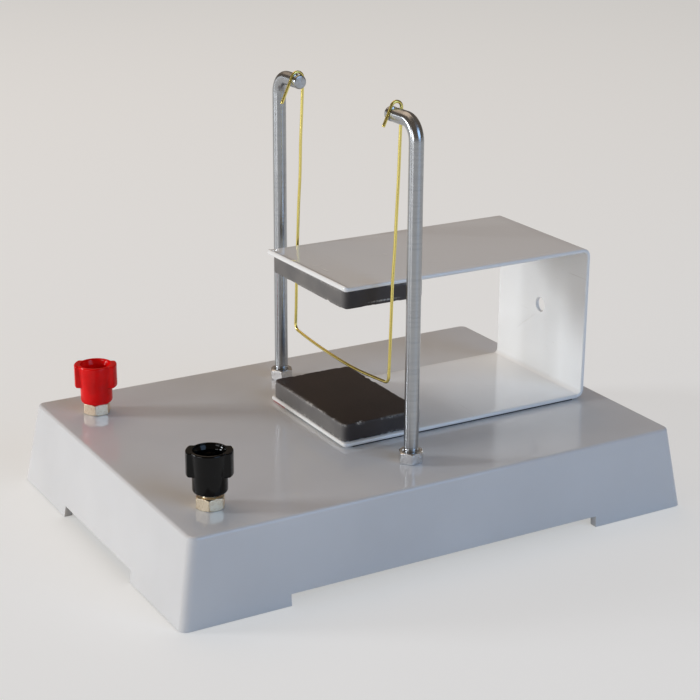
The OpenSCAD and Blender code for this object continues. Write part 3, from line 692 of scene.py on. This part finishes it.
def hexNuts(name, kind, turn, node):
    f = nutForm
    own = f[kind]
    low, top = (corner[2] for corner in nodeBox(node))
    a = np.linspace(0, 2 * np.pi, f["around"] + 1)
    flat, high, bore = own["af"] / 2, top - low, own["bore"]
    point = flat / math.cos(math.pi / 6)
    flatSide = flat / np.cos((a % (np.pi / 3)) - np.pi / 6)
    hexagon = softMin(flatSide, np.full_like(a, point - f["corner"]), f["cornerSoft"])
    steep = math.tan(math.radians(f["chamfer"]))
    slope = (point - flat) * steep + f["chamferPast"]
    rise = np.linspace(0, slope, 9)
    lift = np.concatenate([rise, [high / 2], high - rise[::-1]])
    cone = flat * f["faceShare"] + np.minimum(lift, high - lift) / steep
    wall = softMin(hexagon[None, :], cone[:, None] + 0 * a[None, :], f["faceSoft"])
    inner = np.stack([0 * a + bore, 0 * a + bore + f["mouth"]])
    radius = np.concatenate([inner, wall, inner[::-1]])
    height = np.concatenate([[f["mouthDeep"], 0.0], lift, [high, high - f["mouthDeep"]]])[:, None]
    points, faces = ringSurface(radius, height, turn)
    pair = [(points + [own["at"]["x"], s * own["at"]["y"], low]).reshape(-1, 3) for s in (1, -1)]
    allFaces = np.concatenate([faces, faces + len(pair[0])])
    buildPiece(name, np.concatenate(pair), allFaces, own["finish"], "base", node, sharp=24)


for nutKind in ("post", "terminal"):
    hexNuts(nutKind + "HexNuts", nutKind, nutForm[nutKind]["turn"], nutKind + "_top_nuts")
    hexNuts(nutKind + "LockNuts", nutKind, 0.0, nutKind + "_bottom_nuts")


# Yoke: the sheet's rounded profile carried along the U from the lower open end, round the back, to the upper
yokeForm = {"thick": 1.5, "bendOut": 3.2, "corner": 1.6, "edge": 0.68, "hole": 2.75, "holeZ": 59.5,
            "block": 6.0, "lip": 0.25, "skew": 1.3, "skewLong": 25.0, "bead": 0.38, "beadAt": 0.6,
            "beadWide": 0.75, "beadLong": 2.6}


def bentYoke():
    f = yokeForm
    low, high = nodeBox("magnet_yoke")
    t, e, k, c = f["thick"], f["edge"], f["block"], f["corner"]
    r = f["bendOut"] - t / 2
    lowZ, highZ, backX, side = low[2] + t / 2, high[2] - t / 2, high[0] - t / 2, high[1]
    flat, arc, back = backX - r - low[0], r * np.pi / 2, highZ - lowZ - 2 * r
    marks = np.cumsum([flat, arc, back, arc, flat])
    end = marks[-1]
    holeS = marks[1] + f["holeZ"] - lowZ - r
    # distances along the U, close together at the open ends, in the bends and beside the hole
    nose = e * (1 - np.cos(np.linspace(0, np.pi / 2, 6)))
    ends = np.concatenate([nose, np.linspace(e, c, 6)[1:]])
    steps = np.linspace(-k, k, 13)
    s = np.unique(np.round(np.concatenate([
        ends, np.linspace(c, marks[0], 22), np.linspace(marks[0], marks[1], 13),
        np.linspace(marks[1], holeS - k, 6), holeS + steps, np.linspace(holeS + k, marks[2], 6),
        np.linspace(marks[2], marks[3], 13), np.linspace(marks[3], end - c, 22),
        end - c - np.linspace(0, f["beadLong"], 9), end - ends]), 9))
    # middle line: straight, quarter circle, straight, quarter circle, straight; normal points out of the U
    turn = np.clip((s - marks[0]) / r, 0, np.pi / 2) + np.clip((s - marks[2]) / r, 0, np.pi / 2)
    x = low[0] + np.minimum(s, flat) + r * np.sin(turn) - np.clip(s - marks[3], 0, None)
    z = lowZ + r * (1 - np.cos(turn)) + np.clip(s - marks[1], 0, back)
    # near an open end the width follows the corner's circle and the thickness the rounded edge
    gap = np.minimum(s, end - s)
    half = (side - roundIn(gap, c))[:, None]
    thick = (t / 2 - roundIn(gap, e))[:, None]
    edge = np.minimum(e, thick)
    # one loop round the sheet: outer face, edge, inner face, edge
    flatHalf = side - e
    fromNear, toFar = np.linspace(-flatHalf, -k, 9)[:-1], np.linspace(k, flatHalf, 9)[1:]
    core = np.concatenate([fromNear, steps, toFar]) / flatHalf
    bend = np.linspace(np.pi / 2, 0, 7)
    one, none, held = np.ones_like(core), np.zeros_like(core), np.ones_like(bend)
    outY, outN = np.cos(bend), np.sin(bend)
    loopY = np.concatenate([core, held, held, core[::-1], -held, -held])
    bulgeY = np.concatenate([none, outY, outY[::-1], none, -outY, -outY[::-1]])
    loopN = np.concatenate([one, held, -held, -one, -held, held])
    bulgeN = np.concatenate([one, outN, -outN[::-1], -one, -outN, outN[::-1]])
    y = loopY * (half - edge) + bulgeY * edge
    n = loopN * (thick - edge) + bulgeN * edge
    # enamel has gathered in a bead on top of the upper plate's end
    bead = f["bead"] * np.exp(-((end - s - f["beadAt"]) / f["beadWide"]) ** 2)[:, None]
    n = n + bead * np.clip(n / (t / 2), 0, 1)
    y = np.concatenate([y, y[:, :1]], axis=1)
    n = np.concatenate([n, n[:, :1]], axis=1)
    # the upper plate's end was cut askew: it runs out further on the far side
    nearEnd = np.clip((s - end + f["skewLong"]) / f["skewLong"], 0, 1)[:, None]
    askew = nearEnd * f["skew"] * (0.5 + y / (2 * side))
    outX, outZ = np.sin(turn)[:, None] * n, np.cos(turn)[:, None] * n
    points = np.stack([x[:, None] + outX - askew, y, z[:, None] - outZ], axis=-1)
    rows, cols = y.shape
    faces = quadGrid(rows, cols)
    # the square of faces about the hole is left out of both skins
    middle = points.reshape(-1, 3)[faces].mean(axis=1)
    hit = (np.abs(middle[:, 1]) < k) & (np.abs(middle[:, 2] - f["holeZ"]) < k) & (middle[:, 0] > backX - t)
    faces = list(faces[~hit]) + [range(cols - 1)[::-1], range((rows - 1) * cols, rows * cols - 1)]
    # round the hole: rings from the square to the circle, through the sheet with soft lips, and back
    run = steps[:-1]
    flank = 0 * run + k
    squareY = np.concatenate([run, flank, -run, -flank])
    squareZ = np.concatenate([-flank, run, flank, -run])
    square = np.stack([squareY, squareZ], axis=-1)
    square = np.concatenate([square, square[:1]])
    circle = square / np.linalg.norm(square, axis=1, keepdims=True)
    lip, hole = f["lip"], f["hole"]
    q = np.linspace(0, np.pi / 2, 5)
    ramp = np.linspace(0, 1, 5)
    share = np.concatenate([ramp, np.ones(9), ramp[::-1][1:]])[:, None, None]
    closing, opening = lip * (1 - np.sin(q)), lip * (1 - np.cos(q))
    reach = hole + np.concatenate([[lip] * 5, closing[1:], opening, [lip] * 4])
    depth = np.concatenate([[t / 2] * 5, t / 2 - opening[1:], closing - t / 2, [-t / 2] * 4])
    ring = (1 - share) * square + share * reach[:, None, None] * circle
    deep = np.broadcast_to(backX + depth[:, None], ring.shape[:2])
    patch = np.stack([deep, ring[..., 0], ring[..., 1] + f["holeZ"]], axis=-1)
    faces += list(quadGrid(*ring.shape[:2]) + rows * cols)
    points = np.concatenate([points.reshape(-1, 3), patch.reshape(-1, 3)])
    buildPiece("bentSheetYoke", points, faces, enamel, "base", "magnet_yoke", sharp=50)


bentYoke()


# Magnets: a rounded block as rings of its outline, with chips knocked out of its edges;
# a knock is its place in X and Y, its width and its depth
magnetForm = {"corner": 2.4, "edge": 0.5, "around": 560, "chipWide": (0.35, 1.5), "chipDeep": (0.03, 0.26),
              "biteShare": 0.75, "wear": 0.22, "wearPerBite": 1.8, "wearMost": 1.4, "fret": 0.3,
              "fretLong": 60.0, "sideGroundShade": 0.8,
              "lower_magnet": {"seed": 11, "chips": 46, "knocks": ((-9.4, -26.55, 1.6, 0.5),)},
              "upper_magnet": {"seed": 23, "chips": 30, "knocks": ()}}


def ferriteBlock(name, node):
    f = magnetForm
    own = f[node]
    low, high = nodeBox(node)
    (hx, hy), t, c = (high - low)[:2] / 2, (high - low)[2], f["corner"]
    # outline: straight sides and quarter circles, as distance u round the block
    quarter = np.pi / 2
    q = np.linspace(0, quarter, 14)
    bends = [(hx - c, hy - c, 0), (c - hx, hy - c, 1), (c - hx, c - hy, 2), (hx - c, c - hy, 3)]
    loop = np.concatenate([
        np.stack([cx + c * np.cos(q + k * quarter), cy + c * np.sin(q + k * quarter)], axis=-1)
        for cx, cy, k in bends])
    loop = np.concatenate([loop, loop[:1]])
    far = np.concatenate([[0], np.cumsum(np.linalg.norm(np.diff(loop, axis=0), axis=1))])
    u = np.linspace(0, far[-1], f["around"] + 1)
    ring = np.stack([np.interp(u, far, loop[:, k]) for k in (0, 1)], axis=-1)
    normal = np.stack([np.gradient(ring[:, 1], u), -np.gradient(ring[:, 0], u)], axis=-1)
    normal /= np.linalg.norm(normal, axis=1, keepdims=True)
    rng = np.random.default_rng(own["seed"])

    def edgeChips(knocks):
        # dents of random place, width and depth along one edge, and the knocks that have a place of their own
        n = own["chips"]
        places = rng.uniform(0, far[-1], n)
        dents = list(zip(places, rng.uniform(*f["chipWide"], n), rng.uniform(*f["chipDeep"], n)))
        for kx, ky, wide, deep in knocks:
            dents.append((u[np.argmin(np.hypot(ring[:, 0] - kx, ring[:, 1] - ky))], wide, deep))
        # a dent is deep in its middle and rises ever more steeply to its rim, at 1.3 times its width
        depth = np.zeros_like(u)
        for place, wide, deep in dents:
            gap = np.abs(u - place)
            gap = np.minimum(gap, far[-1] - gap)
            depth = np.maximum(depth, deep * np.clip(1.3 - gap / wide, 0, 1) ** 0.6)
        return depth

    e = f["edge"]
    arc = np.linspace(0, quarter, 7)
    # each row of the upper half: scale of the outline, inset, drop from the face, weight of chips, share of
    # the dark ground face with its painted shade
    half = [(0, 0, 0, 0, 1), (0.4, 0, 0, 0, 1), (0.75, 0, 0, 0, 1)]
    half += [(1, e + g, 0, w, 1) for g, w in ((1.2, 0.0), (0.6, 0.1), (0.25, 0.5))]
    half += [(1, e * (1 - math.sin(v)), e * (1 - math.cos(v)), 1, math.cos(v) ** 2) for v in arc]
    half += [(1, 0, e + g, w, 0) for g, w in ((0.25, 0.5), (0.6, 0.15), (1.2, 0.0))]
    half = np.array(half)
    rows = np.concatenate([half, [[1, 0, t / 2, 0, 0]], half[::-1]])
    up = np.concatenate([np.ones(len(half)), [0], -np.ones(len(half))])[:, None]
    chips = np.where(up > 0, edgeChips(own["knocks"])[None, :], edgeChips(())[None, :])
    bite = rows[:, 3:4] * chips
    inset = rows[:, 1:2] + f["biteShare"] * bite
    xy = ring[None, :, :] * rows[:, :1, None] - normal[None, :, :] * inset[..., None]
    drop = rows[:, 2:3] + f["biteShare"] * bite
    z = np.where(up > 0, t - drop, np.where(up < 0, drop, t / 2))
    points = np.stack([xy[..., 0] + low[0] + hx, xy[..., 1], z + low[2]], axis=-1)
    faces = quadGrid(len(rows), len(u))
    fret = f["fret"] * ripple(u, own["seed"] + 9, 9, f["fretLong"])[None, :]
    wear = rows[:, 3:4] * np.clip(f["wear"] + f["wearPerBite"] * bite + fret, 0, f["wearMost"])
    # the two sides that run along X take the dark ground-face tone too, as painted shade
    shadedGroundFace = np.maximum(rows[:, 4:5], f["sideGroundShade"] * normal[None, :, 1] ** 2)
    buildPiece(name, points, faces, ferrite, "base", node,
               marks={"wear": wear, "shadedGroundFace": shadedGroundFace}, sharp=44)


ferriteBlock("lowerFerriteMagnet", "lower_magnet")
ferriteBlock("upperFerriteMagnet", "upper_magnet")


# Camera at the photograph's angle: 30 degrees round to the left of the long side and 19 degrees up
cameraForm = {"at": (-295.13, -512.69, 261.49), "azimuth": -29.98, "elevation": 19.214, "roll": 0.308,
              "lens": 89.31, "sensor": 36.0, "clip": (0.01, 20.0)}


def aimCamera():
    f = cameraForm
    az, el, roll = (math.radians(f[k]) for k in ("azimuth", "elevation", "roll"))
    ahead = np.array([-math.sin(az) * math.cos(el), math.cos(az) * math.cos(el), -math.sin(el)])
    level = np.cross(ahead, [0, 0, 1])
    level /= np.linalg.norm(level)
    upright = np.cross(level, ahead)
    right = math.cos(roll) * level + math.sin(roll) * upright
    up = math.cos(roll) * upright - math.sin(roll) * level
    data = bpy.data.cameras.new("studioCamera")
    data.lens = f["lens"]
    data.sensor_width = f["sensor"]
    data.sensor_fit = "HORIZONTAL"
    data.clip_start, data.clip_end = f["clip"]
    camera = bpy.data.objects.new("studioCamera", data)
    turn = Matrix(np.stack([right, up, -ahead], axis=-1).tolist())
    camera.matrix_world = Matrix.Translation(np.array(f["at"]) * 0.001) @ turn.to_4x4()
    bpy.context.scene.collection.objects.link(camera)
    bpy.context.scene.camera = camera


aimCamera()


# Studio: pale floor, soft low light from the left, a weak cool fill in front, a weak panel above, a dim sky
studioForm = {"floor": "#EFEFED", "floorGlow": 0.52, "floorShade": "#BCBCBC", "floorZ": -0.0002,
              "floorRings": (0.0, 0.5, 2.0, 8.0), "sky": 0.17, "skyTint": "#FFE9D2", "aim": (0.0, 0.0, 0.05)}
lampForm = {"leftKey": {"watts": 29.0, "size": 0.5, "at": (-2.16, 1.2, 0.6), "tint": "#F4F9FF"},
            "leftPanel": {"watts": 11.0, "size": 0.9, "at": (-1.9, -0.25, 0.2), "tint": "#FBFCFF"},
            "frontFill": {"watts": 7.4, "size": 0.9, "at": (0.45, -1.3, 0.7), "tint": "#AAD2FF"},
            "topPanel": {"watts": 4.4, "size": 1.1, "at": (0.0, 0.8, 1.25), "tint": "#FFE3C8"}}


def layFloor():
    # floor: a disc, point = (radius cos a, radius sin a, just under the feet)
    f = studioForm
    a = np.linspace(0, 2 * np.pi, 97)
    radius = np.array(f["floorRings"])[:, None] + 0 * a[None, :]
    points, faces = ringSurface(radius, np.full((len(radius), 1), f["floorZ"]), closeRows=False)
    mesh = bpy.data.meshes.new("studioFloor")
    mesh.from_pydata(points.reshape(-1, 3).tolist(), [], faces.tolist())
    paper = bpy.data.materials.new("palePaperFloor")
    paper.use_nodes = True
    tree = paper.node_tree
    tree.nodes.clear()
    # seen directly or in metal the paper glows a little, so it stays pale in shadow; it lights as plain paper
    path = addNode(tree, "ShaderNodeLightPath")
    rays = ("Is Camera Ray", "Is Glossy Ray", "Is Transmission Ray")
    seen = strongest(tree, [path.outputs[ray] for ray in rays])
    pale = linearColour(f["floor"])
    plain = addNode(tree, "ShaderNodeBsdfDiffuse", {"Color": pale})
    glow = addNode(tree, "ShaderNodeEmission", {"Color": pale, "Strength": f["floorGlow"]})
    shade = addNode(tree, "ShaderNodeBsdfDiffuse", {"Color": linearColour(f["floorShade"])})
    lifted = addNode(tree, "ShaderNodeAddShader", links={
        0: glow.outputs["Emission"], 1: shade.outputs["BSDF"]})
    mix = addNode(tree, "ShaderNodeMixShader", links={
        0: seen, 1: plain.outputs["BSDF"], 2: lifted.outputs["Shader"]})
    addNode(tree, "ShaderNodeOutputMaterial", links={"Surface": mix.outputs["Shader"]})
    mesh.materials.append(paper)
    floor = bpy.data.objects.new("studioFloor", mesh)
    bpy.context.scene.collection.objects.link(floor)


def softLight(name):
    # a square lamp that looks at the middle of the object
    f = lampForm[name]
    data = bpy.data.lights.new(name, "AREA")
    data.shape = "SQUARE"
    data.size = f["size"]
    data.energy = f["watts"]
    data.color = linearColour(f["tint"])[:3]
    lamp = bpy.data.objects.new(name, data)
    back = np.array(f["at"]) - np.array(studioForm["aim"])
    back /= np.linalg.norm(back)
    right = np.cross([0, 0, 1], back)
    right /= np.linalg.norm(right)
    turn = Matrix(np.stack([right, np.cross(back, right), back], axis=-1).tolist())
    lamp.matrix_world = Matrix.Translation(f["at"]) @ turn.to_4x4()
    bpy.context.scene.collection.objects.link(lamp)


def dimSky():
    world = bpy.data.worlds.new("studioSky")
    world.use_nodes = True
    bpy.context.scene.world = world
    sky = world.node_tree.nodes["Background"]
    sky.inputs["Color"].default_value = linearColour(studioForm["skyTint"])
    sky.inputs["Strength"].default_value = studioForm["sky"]


layFloor()
for lampName in lampForm:
    softLight(lampName)
dimSky()
bpy.context.scene.view_settings.view_transform = "Standard"
print("studio: camera, floor and lights")
